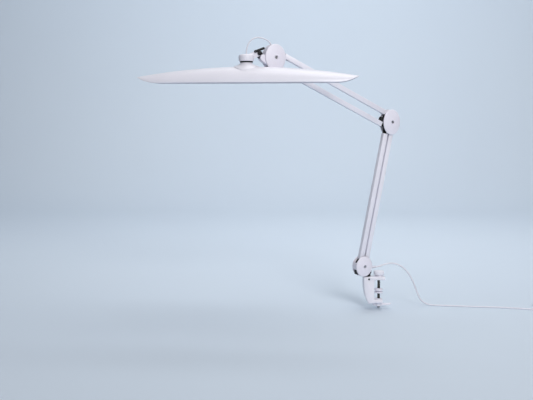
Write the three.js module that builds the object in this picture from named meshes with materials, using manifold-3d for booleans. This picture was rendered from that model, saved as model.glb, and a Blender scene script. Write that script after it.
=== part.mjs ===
// Clamp-on architect desk lamp with two parallel-bar arms and a long boat-shaped shade.
// Millimetres, +Z up. The origin is the middle of the upper clamp pad's face, on the desk top.
import * as THREE from 'three';
import { mergeVertices } from 'three/addons/utils/BufferGeometryUtils.js';
import Module from 'manifold-3d';

const wasm = await Module();
wasm.setup();

// ---------------------------------------------------------------- driving dimensions
const GAP = 0.3; // air left between touching pieces

const ARM_YAW = THREE.MathUtils.degToRad(26); // turn of the arm plane about the post
const BASE = { x: -50.5, y: -9, z: 75 }; // centre of the base joint
const ELBOW = { x: 89.4, z: 421 }; // centre of the elbow joint, in the arm plane from BASE
const HEAD = { x: -291.2, z: 598 }; // centre of the head joint, in the arm plane from BASE

const TUBE = 14; // outer side of the square arm tubes
const TUBE_WALL = 1.2;
const TUBE_START = 20; // pivot to tube end
const STRAP = { width: 12, thickness: 3, insert: 22 }; // end straps that carry the pivots
const STRAP_OFFSET = 1.5; // between the joint's middle plane and the nearer face of a strap
const PIVOT_RADIUS = 3;
const LOWER_HALF_SPACING = 9.35; // half the distance between the lower arm's two bars
const UPPER_HALF_SPACING = 18;
const BASE_PIVOT_SHIFT = { x: -1, z: 0 }; // from a cover's centre to the middle of its pivots
const ELBOW_PIVOT_SHIFT = { x: -5.4, z: 2.6 };
const HEAD_PIVOT_SHIFT = { x: 6, z: -2.8 };
const SPRING = { radius: 4, wire: 0.8, turns: 10, clearance: 6 };
const ARM_STOP = { from: 17, to: 30, halfDepth: 6, height: 12.5 }; // rubber block under the low bar

const PLATE = { inner: 7.8, thickness: 1.6, inset: 6.5 }; // the bracket's side plates, inside the covers
const COVER = { depth: 7, skirt: 2, shoulder: 6, steps: 3, recessDepth: 3, recessRadius: 4.6 };
const COVER_SIZE = {
  base: { radiusX: 27, radiusZ: 30 },
  elbow: { radiusX: 28.5, radiusZ: 37 },
  head: { radiusX: 31, radiusZ: 36 },
};
const COVER_SCREW = { radius: 3.8, height: 2.6, slotDepth: 1.2, slotReach: 2.6, slotHalfWidth: 0.6 };

const SCREW_RADIUS = 4.2;
const THREAD_PITCH = 3;
const THREAD_DEPTH = 0.5;
const PAD_GAP = -2.5; // height of the lower pad's face; the upper pad's face is at 0
const JAW = { top: 43, under: 34, tip: 17, halfWidth: 19, chamfer: 2.2 };
const SPINE = { topX: -47, bottomX: -31, innerX: -14.6, bottomZ: -36 };
const LOWER_ARM = { top: -25, under: -35 };
const POST = { x: -32, radius: 6, bottom: 16, collarRadius: 7.4 };
const POST_LOCK = { z: 37, radius: 2.6 }; // the grub screw that holds the post, in the clamp's front

const SHADE = { x: -386, y: -172, z: 603.5, halfLength: 303, halfWidth: 50, wall: 1.8 };
const SHADE_YAW = THREE.MathUtils.degToRad(-8);
const CROWN = { tip: 17, rise: 26 }; // height of the tips, and of the crown above them
const RIM_LIFT_START = 0.8; // part of the half length where the rim starts to rise
const CAP = { radius: 20.5, bottom: 57.6, top: 76.4 }; // above the shade's rim plane
const CONE = { topRadius: 16, baseRadius: 33, top: 54 };
const WASHER_RADIUS = 17.5;
const SPINDLE_RADIUS = 5;
const TILT = { x: -48.8, z: 9.6 }; // tilt axis, in the arm plane from the head joint
const TILT_BOLT_RADIUS = 3;
const NECK_CHEEK = { inner: 5.6, outer: 11, radius: 7.5 }; // the cap's two lugs beside the head's arm
const SPINDLE_NUT = { bottom: 33, top: 38, radius: 11 };
const LIGHT_FRAME = { halfLength: 238, halfWidth: 45, bottom: 3, top: 6 };
const LIGHT_OPENING = { halfLength: 208, halfWidth: 27, corner: 14 };
const FIT = 0.4; // how much smaller the diffuser is than its opening
const LED_BOARD = { halfLength: 190, halfWidth: 22, corner: 4, bottom: 12, top: 13.6 };
const TRAY = { halfLength: 196, halfWidth: 27, corner: 14, bottom: 6.4, top: 15.4, wall: 1.5 };

const CORD_RADIUS = 2.5;
const LOOP_RADIUS = 1.9;
const FLOOR = -54; // the surface that the cord lies on, level with the clamp's underside
const COIL = { x: 505, y: 10, meanRadius: 29, radial: 10, height: 11 };
const PLUG = { x: 560, y: 29, z: -44.8 }; // the plug lies beside the coil, its nose towards -Y

const lamp = new THREE.Group();
lamp.name = 'desk_lamp';

// ---------------------------------------------------------------- materials
const paint = { color: 0xe9e7ee, roughness: 0.4, metalness: 0 };
const plastic = { color: 0xe6e3ec, roughness: 0.45, metalness: 0 };
const black = { color: 0x151518, roughness: 0.5, metalness: 0 };
const steel = { color: 0x8d8f94, roughness: 0.35, metalness: 1 };
const darkSteel = { color: 0x4a4a44, roughness: 0.4, metalness: 1 };

function addMesh(group, name, geometry, look) {
  const mesh = new THREE.Mesh(geometry, new THREE.MeshStandardMaterial(look));
  mesh.name = name;
  group.add(mesh);
  return mesh;
}

// ---------------------------------------------------------------- solid helpers
function toSolid(geometry) {
  const bare = geometry.clone();
  bare.deleteAttribute('normal');
  bare.deleteAttribute('uv');
  const merged = mergeVertices(bare, 1e-4);
  return new wasm.Manifold(new wasm.Mesh({
    numProp: 3,
    vertProperties: Float32Array.from(merged.attributes.position.array),
    triVerts: Uint32Array.from(merged.index.array),
  }));
}

function toGeometry(solid) {
  const mesh = solid.getMesh();
  const geometry = new THREE.BufferGeometry();
  geometry.setAttribute('position', new THREE.BufferAttribute(Float32Array.from(mesh.vertProperties), 3));
  geometry.setIndex(new THREE.BufferAttribute(Uint32Array.from(mesh.triVerts), 1));
  geometry.computeVertexNormals();
  return geometry;
}

function join(...geometries) {
  return toGeometry(geometries.map(toSolid).reduce((whole, part) => whole.add(part)));
}

function cut(body, ...tools) {
  return toGeometry(tools.map(toSolid).reduce((rest, tool) => rest.subtract(tool), toSolid(body)));
}

function box(x, y, z) {
  return new THREE.BoxGeometry(x[1] - x[0], y[1] - y[0], z[1] - z[0])
    .translate((x[0] + x[1]) / 2, (y[0] + y[1]) / 2, (z[0] + z[1]) / 2);
}

// A round bar along Z from z[0] to z[1].
function upright(x, y, radius, z, sides = 18) {
  return new THREE.CylinderGeometry(radius, radius, z[1] - z[0], sides)
    .rotateX(Math.PI / 2)
    .translate(x, y, (z[0] + z[1]) / 2);
}

// A round bar across the arm plane, along Y from y[0] to y[1].
function crossBar(x, z, radius, y, sides = 14) {
  return new THREE.CylinderGeometry(radius, radius, y[1] - y[0], sides).translate(x, (y[0] + y[1]) / 2, z);
}

// An outline in the arm plane, given as a Shape in (x, z), made solid from y[0] to y[1].
function plate(shape, y, bevel = 0) {
  const options = { depth: y[1] - y[0] - 2 * bevel, bevelEnabled: bevel > 0, curveSegments: 7 };
  Object.assign(options, { bevelThickness: bevel, bevelSize: bevel });
  Object.assign(options, { bevelOffset: -bevel, bevelSegments: 1 });
  return new THREE.ExtrudeGeometry(shape, options).rotateX(Math.PI / 2).translate(0, y[1] - bevel, 0);
}

function lathe(points, sides = 24) {
  const outline = points.map(([radius, z]) => new THREE.Vector2(radius, z));
  return new THREE.LatheGeometry(outline, sides).rotateX(Math.PI / 2);
}

function circleHole(x, z, radius) {
  return new THREE.Path().absarc(x, z, radius, 0, 2 * Math.PI, true);
}

// A bar outline with round ends between two points of the arm plane.
function slotShape(a, b, radius) {
  const along = Math.atan2(b.z - a.z, b.x - a.x);
  const shape = new THREE.Shape();
  shape.absarc(a.x, a.z, radius, along + Math.PI / 2, along + 1.5 * Math.PI, false);
  shape.absarc(b.x, b.z, radius, along - Math.PI / 2, along + Math.PI / 2, false);
  shape.closePath();
  return shape;
}

function ellipseShape(x, z, radiusX, radiusZ) {
  return new THREE.Shape().absellipse(x, z, radiusX, radiusZ, 0, 2 * Math.PI, false);
}

const at = (centre, x, z) => ({ x: centre.x + x, z: centre.z + z });
const ORIGIN = { x: 0, z: 0 };

// ---------------------------------------------------------------- pivots, in the arm plane
const lowerDirection = new THREE.Vector2(ELBOW.x, ELBOW.z).normalize();
const upperDirection = new THREE.Vector2(HEAD.x - ELBOW.x, HEAD.z - ELBOW.z).normalize();

// The two pivots on either side of an arm's centre line, across its direction.
function pivotPair(centre, direction, halfSpacing) {
  const across = { x: -direction.y * halfSpacing, z: direction.x * halfSpacing };
  return [at(centre, across.x, across.z), at(centre, -across.x, -across.z)];
}

const baseCentre = at(ORIGIN, BASE_PIVOT_SHIFT.x, BASE_PIVOT_SHIFT.z);
const upperElbowCentre = at(ELBOW, ELBOW_PIVOT_SHIFT.x, ELBOW_PIVOT_SHIFT.z);
const headCentre = at(HEAD, HEAD_PIVOT_SHIFT.x, HEAD_PIVOT_SHIFT.z);
const [elbowLow, elbowTop] = pivotPair(upperElbowCentre, upperDirection, UPPER_HALF_SPACING);
const [headLow, headTop] = pivotPair(headCentre, upperDirection, UPPER_HALF_SPACING);
const [baseLeft, baseRight] = pivotPair(baseCentre, lowerDirection, LOWER_HALF_SPACING);
// The lower arm's left bar shares the elbow's low pivot with the upper arm's low bar.
const lowerSpan = { x: elbowLow.x - baseLeft.x, z: elbowLow.z - baseLeft.z };
const elbowRight = at(baseRight, lowerSpan.x, lowerSpan.z);

// ---------------------------------------------------------------- clamp
function clampBody() {
  const profile = new THREE.Shape();
  profile.moveTo(SPINE.topX + 4, JAW.top);
  profile.lineTo(JAW.tip, JAW.top);
  profile.lineTo(JAW.tip, JAW.under);
  profile.lineTo(SPINE.innerX + 6, JAW.under);
  profile.quadraticCurveTo(SPINE.innerX, JAW.under, SPINE.innerX, JAW.under - 6);
  profile.lineTo(SPINE.innerX, LOWER_ARM.top + 4);
  profile.quadraticCurveTo(SPINE.innerX, LOWER_ARM.top, SPINE.innerX + 4, LOWER_ARM.top);
  profile.lineTo(10, LOWER_ARM.top);
  profile.lineTo(10, LOWER_ARM.under);
  profile.lineTo(SPINE.innerX, LOWER_ARM.under);
  profile.quadraticCurveTo(SPINE.innerX - 6, SPINE.bottomZ, SPINE.bottomX, SPINE.bottomZ);
  profile.bezierCurveTo(SPINE.bottomX - 10, -24, SPINE.topX, 0, SPINE.topX, JAW.top - 4);
  profile.quadraticCurveTo(SPINE.topX, JAW.top, SPINE.topX + 4, JAW.top);
  const body = plate(profile, [-JAW.halfWidth, JAW.halfWidth], JAW.chamfer);
  const boss = lathe([[0, -35.5], [12, -35.5], [12, -26], [9, -22.5], [0, -22.5]]);
  const dome = lathe([[0, 38], [11, 38], [11, 46], [9.5, 47.5], [0, 47.5]]);
  return cut(
    join(body, boss, dome),
    upright(0, 0, SCREW_RADIUS + GAP, [-60, 60]),
    upright(POST.x, 0, POST.radius + GAP, [POST.bottom - GAP, 60]),
    crossBar(POST.x + 1, POST_LOCK.z, POST_LOCK.radius + GAP, [-25, -8]),
  );
}

// The clamp screw's handle: a round hub with a long wing and a short one.
function wingHandle() {
  const hub = lathe([[0, -46], [8, -46], [9, -44.5], [9, -38], [8, -36.2], [0, -36.2]]);
  const wing = new THREE.Shape();
  wing.moveTo(4, -44);
  wing.lineTo(30, -43);
  wing.lineTo(37, -40);
  wing.lineTo(37, -37);
  wing.lineTo(30, -38);
  wing.lineTo(4, -37.5);
  wing.closePath();
  const paddle = plate(wing, [-5, 5], 0.8);
  const counterWing = plate(slotShape({ x: -4, z: -41 }, { x: -13, z: -41 }, 3.4), [-4, 4], 0.8);
  return cut(join(hub, paddle, counterWing), upright(0, 0, SCREW_RADIUS + GAP, [-60, -30]));
}

// A rod from z[0] to z[1] with thread ridges, drawn as rings, between the two thread heights.
function threadedRod(z, threads) {
  const pitch = (threads[1] - threads[0]) / Math.round((threads[1] - threads[0]) / THREAD_PITCH);
  const core = SCREW_RADIUS - THREAD_DEPTH;
  const points = [[0, z[0]], [core, z[0]]];
  for (let height = threads[0]; height < threads[1] - pitch / 2; height += pitch) {
    points.push([core, height], [SCREW_RADIUS, height + pitch / 2]);
  }
  points.push([core, threads[1]], [core, z[1]], [0, z[1]]);
  return lathe(points, 12);
}

function addClamp() {
  addMesh(lamp, 'clamp_body', clampBody(), paint);
  const bore = (z) => upright(0, 0, SCREW_RADIUS + GAP, z);
  const upperPad = lathe([[0, 0], [11, 0], [12, 1], [12, 4], [8, 8], [0, 8]]);
  const studBottom = 4;
  const studTop = 59;
  addMesh(lamp, 'upper_pad', cut(upperPad, bore([studBottom, 10])), plastic);
  addMesh(lamp, 'upper_screw', threadedRod([studBottom + GAP, studTop], [8.5, 33]), darkSteel);
  const knob = lathe([[0, 48], [14, 48], [15.5, 49.5], [15.5, 56.5], [14, 59.5], [6, 60.5], [0, 60.5]]);
  addMesh(lamp, 'upper_locknut', cut(knob, bore([47, studTop + GAP])), paint);
  const screwTop = -4.5;
  const lowerPad = lathe([[0, -7.5], [8, -7.5], [12, -6], [12, -3.5], [11, PAD_GAP], [0, PAD_GAP]]);
  addMesh(lamp, 'lower_pad', cut(lowerPad, bore([-9, screwTop])), plastic);
  addMesh(lamp, 'clamp_screw', threadedRod([-50, screwTop - GAP], [-35, -8]), darkSteel);
  addMesh(lamp, 'wing_handle', wingHandle(), paint);
  const lockScrew = crossBar(POST.x + 1, POST_LOCK.z, POST_LOCK.radius, [-20.5, -8.3]);
  addMesh(lamp, 'post_lock_screw', lockScrew, black);
}

// ---------------------------------------------------------------- joints of the arms
// The front or back cover of a joint: a domed oval cap with a screw recess.
function jointCover(centre, radiusX, radiusZ, side) {
  const inner = PLATE.inner + PLATE.thickness + GAP;
  const layers = [];
  for (let i = 0; i < COVER.steps; i += 1) {
    const turn = (i / COVER.steps) * Math.PI / 2;
    const shrink = COVER.shoulder * (1 - Math.cos(turn));
    const rise = (COVER.depth - COVER.skirt) * Math.max(Math.sin(turn), 0.02);
    const outline = ellipseShape(0, 0, radiusX - shrink, radiusZ - shrink);
    layers.push(plate(outline, [inner, inner + COVER.skirt + rise]));
  }
  const recessY = [inner + COVER.recessDepth, inner + 3 * COVER.depth];
  const recess = crossBar(0, 0, COVER.recessRadius, recessY);
  const body = cut(join(...layers), recess);
  const cover = side > 0 ? body : body.rotateZ(Math.PI);
  return cover.translate(centre.x, 0, centre.z);
}

function coverScrew(centre) {
  const { radius, height, slotDepth, slotReach, slotHalfWidth } = COVER_SCREW;
  const face = PLATE.inner + PLATE.thickness + COVER.recessDepth + 2 * GAP;
  const head = crossBar(0, 0, radius, [face, face + height], 20);
  const slotY = [face + height - slotDepth, face + height + 1];
  const long = [-slotReach, slotReach];
  const narrow = [-slotHalfWidth, slotHalfWidth];
  const crossed = cut(head, box(long, slotY, narrow), box(narrow, slotY, long));
  return crossed.rotateZ(Math.PI).translate(centre.x, 0, centre.z);
}

// The bracket's front plate is drilled for the studs that the back plate carries.
function frontPlate(outline, pivots) {
  pivots.forEach((pivot) => outline.holes.push(circleHole(pivot.x, pivot.z, PIVOT_RADIUS + GAP)));
  return plate(outline, [-PLATE.inner - PLATE.thickness, -PLATE.inner]);
}

function backPlateWithStuds(outline, pivots, core) {
  const back = plate(outline, [PLATE.inner, PLATE.inner + PLATE.thickness]);
  const studs = pivots.map((pivot) => crossBar(pivot.x, pivot.z, PIVOT_RADIUS,
    [-PLATE.inner - PLATE.thickness + GAP, PLATE.inner + 0.5]));
  return join(back, ...studs, core);
}

// One joint of the arms: a bracket of two plates, its two covers and the cover screw.
function addArmJoint(group, name, centre, pivots, core) {
  const { radiusX, radiusZ } = COVER_SIZE[name];
  const outline = () => ellipseShape(centre.x, centre.z, radiusX - PLATE.inset, radiusZ - PLATE.inset);
  addMesh(group, `${name}_plate_front`, frontPlate(outline(), pivots), black);
  addMesh(group, `${name}_bracket`, backPlateWithStuds(outline(), pivots, core), black);
  addMesh(group, `${name}_cover_front`, jointCover(centre, radiusX, radiusZ, -1), plastic);
  addMesh(group, `${name}_cover_back`, jointCover(centre, radiusX, radiusZ, 1), plastic);
  addMesh(group, `${name}_cover_screw`, coverScrew(centre), steel);
}

// ---------------------------------------------------------------- arm bars
// A strap end: a flat bar pivoting on a stud, whose block plugs into the tube.
function strapEnd(depth) {
  const shape = slotShape(ORIGIN, { x: TUBE_START + STRAP.insert / 2, z: 0 }, STRAP.width / 2 - 0.6);
  shape.holes.push(circleHole(0, 0, PIVOT_RADIUS + GAP));
  const half = TUBE / 2 - TUBE_WALL - GAP;
  const plug = box([TUBE_START + 2, TUBE_START + STRAP.insert], [-half, half], [-half, half]);
  return join(plate(shape, depth), plug);
}

function squareTube(length) {
  const outer = TUBE / 2;
  const inner = outer - TUBE_WALL;
  const corner = 1.6;
  const shape = new THREE.Shape();
  shape.moveTo(-outer + corner, -outer);
  shape.lineTo(outer - corner, -outer);
  shape.quadraticCurveTo(outer, -outer, outer, -outer + corner);
  shape.lineTo(outer, outer - corner);
  shape.quadraticCurveTo(outer, outer, outer - corner, outer);
  shape.lineTo(-outer + corner, outer);
  shape.quadraticCurveTo(-outer, outer, -outer, outer - corner);
  shape.lineTo(-outer, -outer + corner);
  shape.quadraticCurveTo(-outer, -outer, -outer + corner, -outer);
  const bore = new THREE.Path();
  bore.moveTo(-inner, -inner);
  bore.lineTo(-inner, inner);
  bore.lineTo(inner, inner);
  bore.lineTo(inner, -inner);
  bore.closePath();
  shape.holes.push(bore);
  const depth = length - 2 * TUBE_START;
  return new THREE.ExtrudeGeometry(shape, { depth, bevelEnabled: false, curveSegments: 3 })
    .rotateY(Math.PI / 2)
    .translate(TUBE_START, 0, 0);
}

function roundSection(radius, sides) {
  return new THREE.Shape(Array.from({ length: sides }, (_, i) => {
    const angle = (2 * Math.PI * i) / sides;
    return new THREE.Vector2(radius * Math.cos(angle), radius * Math.sin(angle));
  }));
}

class Helix extends THREE.Curve {
  constructor(radius, length, turns) {
    super();
    Object.assign(this, { radius, length, turns });
  }

  getPoint(t, target = new THREE.Vector3()) {
    const angle = 2 * Math.PI * this.turns * t;
    return target.set(this.length * t, this.radius * Math.cos(angle), this.radius * Math.sin(angle));
  }
}

// The balance spring that lies inside one tube of each arm.
function balanceSpring(start, length) {
  const path = new Helix(SPRING.radius, length, SPRING.turns);
  const options = { steps: SPRING.turns * 8, extrudePath: path, bevelEnabled: false };
  return new THREE.ExtrudeGeometry(roundSection(SPRING.wire, 5), options).translate(start, 0, 0);
}

// Tube, two strap ends and, in one bar of each arm, the spring, from pivot to pivot.
function addBar(group, name, from, to, depth, withSpring) {
  const length = Math.hypot(to.x - from.x, to.z - from.z);
  const bar = new THREE.Group();
  bar.position.set(from.x, 0, from.z);
  bar.rotation.y = -Math.atan2(to.z - from.z, to.x - from.x);
  group.add(bar);
  addMesh(bar, `${name}_tube`, squareTube(length), paint);
  addMesh(bar, `${name}_end_near`, strapEnd(depth), black);
  addMesh(bar, `${name}_end_far`, strapEnd(depth).rotateY(Math.PI).translate(length, 0, 0), black);
  if (withSpring) {
    const springStart = TUBE_START + STRAP.insert + SPRING.clearance;
    addMesh(bar, `${name}_spring`, balanceSpring(springStart, length - 2 * springStart), steel);
  }
  return bar;
}

// ---------------------------------------------------------------- arms
const armPlane = new THREE.Group();
armPlane.position.set(BASE.x, BASE.y, BASE.z);
armPlane.rotation.z = ARM_YAW;
lamp.add(armPlane);

// The two arms' straps lie on either side of the joint's middle plane.
const LOWER_DEPTH = [STRAP_OFFSET, STRAP_OFFSET + STRAP.thickness];
const UPPER_DEPTH = [-STRAP_OFFSET - STRAP.thickness, -STRAP_OFFSET];

function addBase() {
  // The post stands on the swivel axis, which lies to the right of the joint's centre.
  const toPost = (POST.x - BASE.x) / Math.cos(ARM_YAW);
  const collarBottom = JAW.top - BASE.z + GAP;
  const web = box([-21, toPost + 7], [-7, PLATE.inner + 0.5], [-23, -11]);
  const tab = box([toPost + 1, toPost + 7], [-6, PLATE.inner + 0.5], [-23, -0.5]);
  const collar = upright(toPost, 0, POST.collarRadius, [collarBottom, -15]);
  const post = upright(toPost, 0, POST.radius, [POST.bottom - BASE.z, -14]);
  addArmJoint(armPlane, 'base', ORIGIN, [baseLeft, baseRight], join(web, tab, collar, post));
  const gland = lathe([[0, 0], [5, 0], [5, 3], [3.6, 5], [3.2, 22], [0, 22]], 20);
  const bored = cut(gland, upright(0, 0, CORD_RADIUS + GAP, [8, 30], 16));
  addMesh(armPlane, 'cord_gland', bored.rotateY(Math.PI / 2).translate(toPost + 7 + GAP, 0, -6), plastic);
}

function addLowerArm() {
  addBar(armPlane, 'lower_left', baseLeft, elbowLow, LOWER_DEPTH, true);
  addBar(armPlane, 'lower_right', baseRight, elbowRight, LOWER_DEPTH, false);
}

function addElbow() {
  const core = crossBar(ELBOW.x + 13, ELBOW.z + 6, 7, [-7, 8]);
  addArmJoint(armPlane, 'elbow', ELBOW, [elbowTop, elbowLow, elbowRight], core);
}

function addUpperArm() {
  addBar(armPlane, 'upper_top', elbowTop, headTop, UPPER_DEPTH, true);
  const low = addBar(armPlane, 'upper_low', elbowLow, headLow, UPPER_DEPTH, false);
  const { from, to, halfDepth, height } = ARM_STOP;
  const stopTop = -TUBE / 2 - GAP;
  addMesh(low, 'arm_stop', box([from, to], [-halfDepth, halfDepth], [stopTop - height, stopTop]), black);
}

function addHead() {
  const arm = plate(slotShape(at(HEAD, -22, -11), at(HEAD, TILT.x, TILT.z), 8), [-5, 5], 1);
  const web = plate(slotShape(at(HEAD, -17.5, -14), at(HEAD, -24, -9), 8), [-7, 8]);
  const eye = crossBar(HEAD.x + TILT.x, HEAD.z + TILT.z, TILT_BOLT_RADIUS + GAP, [-12, 12]);
  const core = cut(join(arm, web), eye);
  addArmJoint(armPlane, 'head', HEAD, [headTop, headLow], core);
}

// ---------------------------------------------------------------- tilting neck
const neckX = (SHADE.x - BASE.x) * Math.cos(ARM_YAW) + (SHADE.y - BASE.y) * Math.sin(ARM_YAW);
const neckY = -(SHADE.x - BASE.x) * Math.sin(ARM_YAW) + (SHADE.y - BASE.y) * Math.cos(ARM_YAW);
const rimZ = SHADE.z - BASE.z;

function capBody() {
  const { radius, bottom, top } = CAP;
  const dome = lathe([[0, bottom], [radius - 1, bottom], [radius, bottom + 1], [radius, top - 6],
    [radius - 2, top - 2.5], [radius - 6, top - 0.6], [0, top]]).translate(neckX, neckY, rimZ);
  const spindle = upright(neckX, neckY, SPINDLE_RADIUS, [rimZ + 30, rimZ + bottom + 2]);
  const eyeAt = at(HEAD, TILT.x, TILT.z);
  const { inner, outer } = NECK_CHEEK;
  const cheekShape = () => slotShape(eyeAt, { x: neckX + 8, z: rimZ + 68 }, NECK_CHEEK.radius);
  const cheeks = [[-outer, -inner], [inner, outer]].map((y) => plate(cheekShape(), y, 0.8));
  const eye = crossBar(eyeAt.x, eyeAt.z, TILT_BOLT_RADIUS + GAP, [-14, 14]);
  return cut(join(dome, spindle, ...cheeks), eye);
}

// The tilt lock: a bolt through the neck with a two-winged head in front.
function tiltScrew() {
  const eyeAt = at(HEAD, TILT.x, TILT.z);
  const bolt = crossBar(eyeAt.x, eyeAt.z, TILT_BOLT_RADIUS, [-14, 12]);
  const hub = crossBar(eyeAt.x, eyeAt.z, 6, [-17, -11.4]);
  const wing = plate(slotShape(at(eyeAt, -14, 4), at(eyeAt, 11, 13), 3.2), [-17, -12.4], 1);
  return join(bolt, hub, wing);
}

function addNeck() {
  addMesh(armPlane, 'swivel_cap', capBody(), paint);
  addMesh(armPlane, 'tilt_lock_screw', tiltScrew(), black);
  const washerZ = [rimZ + CONE.top + GAP, rimZ + CAP.bottom - GAP];
  const washer = upright(neckX, neckY, WASHER_RADIUS, washerZ, 32);
  const spindleHole = upright(neckX, neckY, SPINDLE_RADIUS + GAP, [rimZ + 50, rimZ + 60]);
  addMesh(armPlane, 'friction_washer', cut(washer, spindleHole), black);
}

// ---------------------------------------------------------------- shade
const shadeGroup = new THREE.Group();
shadeGroup.position.set(SHADE.x, SHADE.y, SHADE.z);
shadeGroup.rotation.z = SHADE_YAW;
lamp.add(shadeGroup);

const halfWidthAt = (s, halfWidth) => halfWidth * Math.max(1 - s * s, 0) ** 0.42;
const crownAt = (s) => CROWN.tip + CROWN.rise * (1 - s * s);

function rimAt(s) {
  const lift = Math.max((Math.abs(s) - RIM_LIFT_START) / (1 - RIM_LIFT_START), 0);
  return CROWN.tip * lift * lift;
}

// Height of the shade's surface, inset by a wall thickness for its inner side.
function shadeHeight(x, y, inset) {
  const s = Math.min(Math.abs(x) / (SHADE.halfLength - inset), 1);
  const width = halfWidthAt(s, SHADE.halfWidth - inset);
  const v = width > 1e-6 ? Math.min(Math.abs(y) / width, 1) : 0;
  return rimAt(s) + (crownAt(s) - inset - rimAt(s)) * Math.sqrt(1 - v * v) ** 1.1;
}

// One closed shell from a stack of rings; rings run outward along one side and back along the other.
function ringShell(rings) {
  const sides = rings[0].length;
  const positions = rings.flat(2);
  const indices = [];
  rings.forEach((_, k) => {
    const next = (k + 1) % rings.length;
    for (let i = 0; i < sides; i += 1) {
      const j = (i + 1) % sides;
      const [a, b, c, d] = [k * sides + i, k * sides + j, next * sides + j, next * sides + i];
      indices.push(a, c, b, a, d, c);
    }
  });
  const geometry = new THREE.BufferGeometry();
  geometry.setAttribute('position', new THREE.Float32BufferAttribute(positions, 3));
  geometry.setIndex(indices);
  geometry.computeVertexNormals();
  return geometry;
}

function shadeRing(t, inset, sides) {
  const ring = [];
  for (let i = 0; i < sides; i += 1) {
    const angle = (2 * Math.PI * i) / sides;
    const s = Math.cos(angle);
    const x = t * (SHADE.halfLength - inset) * s;
    const edge = halfWidthAt(s, SHADE.halfWidth - inset) * Math.sign(Math.sin(angle));
    const y = Math.abs(Math.sin(angle)) < 1e-9 ? 0 : t * edge;
    const z = t > 0.9999 ? rimAt(s) : shadeHeight(x, y, inset);
    ring.push([x, y, z]);
  }
  return ring;
}

function shadeShell() {
  const sides = 44;
  const steps = 7;
  const holeSize = 0.03;
  const spread = (k) => holeSize + (1 - holeSize) * Math.sin((k / steps) * Math.PI / 2);
  const outer = Array.from({ length: steps + 1 }, (_, k) =>
    shadeRing(k === steps ? 1 : spread(k), 0, sides));
  const inner = Array.from({ length: steps + 1 }, (_, k) =>
    shadeRing(k === 0 ? 1 : spread(steps - k), SHADE.wall, sides));
  return cut(ringShell([...outer, ...inner]), upright(0, 0, SPINDLE_RADIUS + 1, [20, 60]));
}

// The flared neck base rests on the crown and follows its curve.
function neckCone() {
  const sides = 24;
  const ringOf = (radius, height) => Array.from({ length: sides }, (_, i) => {
    const angle = (2 * Math.PI * i) / sides;
    const x = radius * Math.cos(angle);
    const y = radius * Math.sin(angle);
    return [x, y, height === null ? shadeHeight(x, y, 0) + GAP + 0.3 : height(x, y)];
  });
  const flare = (u) => CONE.topRadius + (CONE.baseRadius - CONE.topRadius) * u * u;
  const rings = [ringOf(SPINDLE_RADIUS + GAP, () => CONE.top), ringOf(CONE.topRadius - 1, () => CONE.top)];
  const steps = 4;
  for (let k = 0; k <= steps; k += 1) {
    const u = k / steps;
    rings.push(ringOf(flare(u), (x, y) => {
      const foot = shadeHeight(x, y, 0) + GAP + 1.6;
      return foot + (CONE.top - 1 - foot) * (1 - u);
    }));
  }
  for (let k = steps; k >= 0; k -= 1) {
    rings.push(ringOf(SPINDLE_RADIUS + GAP + (CONE.baseRadius - SPINDLE_RADIUS - GAP) * (k / steps), null));
  }
  return ringShell(rings);
}

// The outline of a flat oval that keeps an even distance from the shade's rim.
function ovalShape(halfLength, halfWidth) {
  const shape = new THREE.Shape();
  const count = 20;
  for (let side = 1; side >= -1; side -= 2) {
    for (let i = 0; i <= count; i += 1) {
      const x = side * halfLength * (1 - (2 * i) / count);
      const y = side * (halfWidthAt(x / SHADE.halfLength, SHADE.halfWidth) - SHADE.halfWidth + halfWidth);
      shape.lineTo(x, y);
    }
  }
  return shape;
}

// A rounded rectangle, smaller than the panel by an inset all round.
function panelShape(panel, inset) {
  const halfLength = panel.halfLength - inset;
  const halfWidth = panel.halfWidth - inset;
  const radius = panel.corner - inset;
  const shape = new THREE.Shape();
  shape.absarc(halfLength - radius, halfWidth - radius, radius, 0, Math.PI / 2, false);
  shape.absarc(-halfLength + radius, halfWidth - radius, radius, Math.PI / 2, Math.PI, false);
  shape.absarc(-halfLength + radius, -halfWidth + radius, radius, Math.PI, 1.5 * Math.PI, false);
  shape.absarc(halfLength - radius, -halfWidth + radius, radius, 1.5 * Math.PI, 2 * Math.PI, false);
  shape.closePath();
  return shape;
}

function flatPanel(shape, z) {
  const options = { depth: z[1] - z[0], bevelEnabled: false, curveSegments: 6 };
  return new THREE.ExtrudeGeometry(shape, options).translate(0, 0, z[0]);
}

// The frame that closes the shade from below, with its diffuser, LED board and reflector tray.
function addLightUnit() {
  const opening = flatPanel(panelShape(LIGHT_OPENING, 0), [0, 10]);
  const frame = flatPanel(ovalShape(LIGHT_FRAME.halfLength, LIGHT_FRAME.halfWidth),
    [LIGHT_FRAME.bottom, LIGHT_FRAME.top]);
  addMesh(shadeGroup, 'light_frame', cut(frame, opening), plastic);
  const diffuserZ = [LIGHT_FRAME.bottom + FIT / 2, LIGHT_FRAME.top - FIT];
  const diffuser = flatPanel(panelShape(LIGHT_OPENING, FIT), diffuserZ);
  addMesh(shadeGroup, 'diffuser', diffuser, { color: 0xf6f6f2, roughness: 0.5, metalness: 0 });
  const board = flatPanel(panelShape(LED_BOARD, 0), [LED_BOARD.bottom, LED_BOARD.top]);
  addMesh(shadeGroup, 'led_board', board, { ...plastic, color: 0xf0f0ee });
  const tray = cut(
    flatPanel(panelShape(TRAY, 0), [TRAY.bottom, TRAY.top]),
    flatPanel(panelShape(TRAY, TRAY.wall), [TRAY.bottom - 1, TRAY.top - TRAY.wall]),
    upright(0, 0, SPINDLE_RADIUS + 8, [5, 60]),
  );
  addMesh(shadeGroup, 'reflector_tray', tray, plastic);
}

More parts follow.
